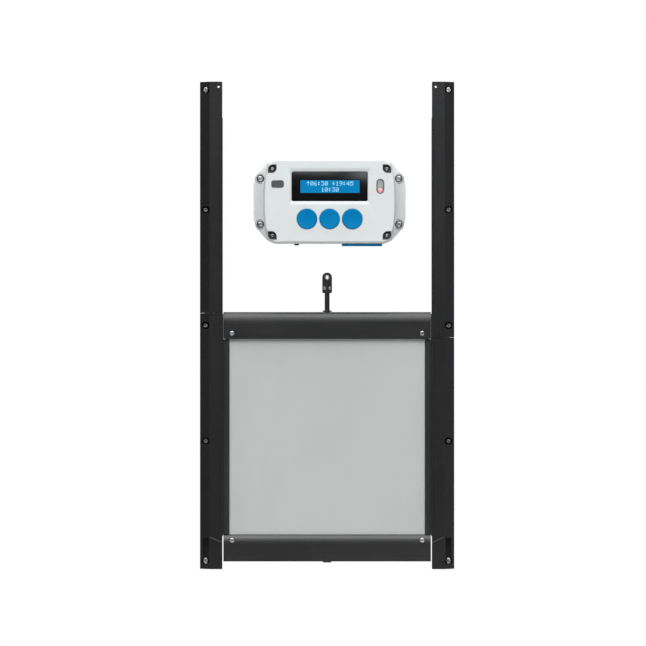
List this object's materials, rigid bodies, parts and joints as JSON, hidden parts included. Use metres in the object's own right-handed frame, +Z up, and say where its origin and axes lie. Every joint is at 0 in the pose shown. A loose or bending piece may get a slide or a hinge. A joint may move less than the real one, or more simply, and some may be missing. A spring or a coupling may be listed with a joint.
{
  "type": "automatic coop door",
  "caption": "Self-locking sliding door for a poultry coop, in two black wall runners, with the white battery-powered motor unit that lifts it by a cord.",
  "frame": {"origin": "middle of the door's width in the wall plane behind the runners, level with the runners' bottom ends", "axes": "+Z up, -Y out of the wall towards a person in front of the door, +X to that person's right"},
  "size_m": [0.364, 0.0922, 0.697],
  "materials": {
    "runner_black": "black powder coat",
    "bar_black": "black anodised, satin",
    "moulded_black": "moulded black nylon",
    "strip_black": "matt black glide plastic",
    "panel_grey": "light grey satin sheet",
    "steel": "bright stainless",
    "case_white": "off-white satin moulding",
    "button_blue": "blue satin moulding",
    "drawer_blue": "blue satin moulding",
    "display_black": "black gloss window",
    "lcd_blue": "blue liquid crystal field",
    "board_green": "green solder mask",
    "sensor_grey": "clear grey lens",
    "led_red": "red lens",
    "cell_sleeve": "dark printed sleeve, density near a dry cell's",
    "seal_rubber": "black rubber"
  },
  "bodies": {
    "frame": {"case_back": "case_white", "case_front": "case_white", "case_screw_lower_left": "steel", "case_screw_lower_right": "steel", "case_screw_upper_left": "steel", "case_screw_upper_right": "steel", "case_seal": "seal_rubber", "circuit_board": "board_green", "cord_outlet": "moulded_black", "display_window": "display_black", "gear_motor": "steel", "lcd_module": "lcd_blue", "left_glide_strip": "strip_black", "left_lock_keeper": "moulded_black", "left_runner_lower": "runner_black", "left_runner_screw_1": "steel", "left_runner_screw_2": "steel", "left_runner_screw_3": "steel", "left_runner_screw_4": "steel", "left_runner_screw_5": "steel", "left_runner_upper": "runner_black", "mount_screw_lower_left": "steel", "mount_screw_lower_right": "steel", "mount_screw_upper_left": "steel", "mount_screw_upper_right": "steel", "right_glide_strip": "strip_black", "right_lock_keeper": "moulded_black", "right_runner_lower": "runner_black", "right_runner_screw_1": "steel", "right_runner_screw_2": "steel", "right_runner_screw_3": "steel", "right_runner_screw_4": "steel", "right_runner_screw_5": "steel", "right_runner_upper": "runner_black", "sensor_window": "sensor_grey", "status_led": "led_red"},
    "door": {"bottom_bar": "bar_black", "door_panel": "panel_grey", "door_screw_bottom_left": "steel", "door_screw_bottom_right": "steel", "door_screw_top_left": "steel", "door_screw_top_right": "steel", "left_stile": "runner_black", "right_stile": "runner_black", "rod_collar": "moulded_black", "top_bar": "bar_black"},
    "rod": {"lift_rod": "bar_black", "lifter_eye": "moulded_black", "cam_plate": "bar_black"},
    "bolt_left": {"lock_bolt_left": "steel"},
    "bolt_right": {"lock_bolt_right": "steel"},
    "spool": {"spool": "moulded_black"},
    "button_1": {"button_1": "button_blue"},
    "button_2": {"button_2": "button_blue"},
    "button_3": {"button_3": "button_blue"},
    "drawer": {"battery_drawer": "drawer_blue", "cell_1": "cell_sleeve", "cell_2": "cell_sleeve", "cell_3": "cell_sleeve", "cell_4": "cell_sleeve"}
  },
  "joints": [
    {"name": "door_slide", "type": "slide", "parent": "frame", "child": "door", "axis": [0, 0, 1], "range_m": [0, 0.3]},
    {"name": "rod_slide", "type": "slide", "parent": "door", "child": "rod", "axis": [0, 0, 1], "range_m": [-0.007, 0]},
    {"name": "bolt_left_slide", "type": "slide", "parent": "door", "child": "bolt_left", "axis": [-1, 0, 0], "range_m": [0, 0.007]},
    {"name": "bolt_right_slide", "type": "slide", "parent": "door", "child": "bolt_right", "axis": [1, 0, 0], "range_m": [0, 0.007]},
    {"name": "spool_turn", "type": "hinge", "parent": "frame", "child": "spool", "pos_m": [-0.0436, -0.047, 0.515], "axis": [1, 0, 0], "range_deg": [0, 1433]},
    {"name": "button_1_press", "type": "slide", "parent": "frame", "child": "button_1", "axis": [0, 1, 0], "range_m": [0, 0.0015], "stiffness_N_per_m": 900},
    {"name": "button_2_press", "type": "slide", "parent": "frame", "child": "button_2", "axis": [0, 1, 0], "range_m": [0, 0.0015], "stiffness_N_per_m": 900},
    {"name": "button_3_press", "type": "slide", "parent": "frame", "child": "button_3", "axis": [0, 1, 0], "range_m": [0, 0.0015], "stiffness_N_per_m": 900},
    {"name": "drawer_slide", "type": "slide", "parent": "frame", "child": "drawer", "axis": [0, 0, -1], "range_m": [0, 0.03]}
  ],
  "couplings": [
    {"joint": "spool_turn", "follows": "door_slide", "rad_per_m": 83.333},
    {"joint": "bolt_left_slide", "follows": "rod_slide", "ratio": -1},
    {"joint": "bolt_right_slide", "follows": "rod_slide", "ratio": -1}
  ]
}
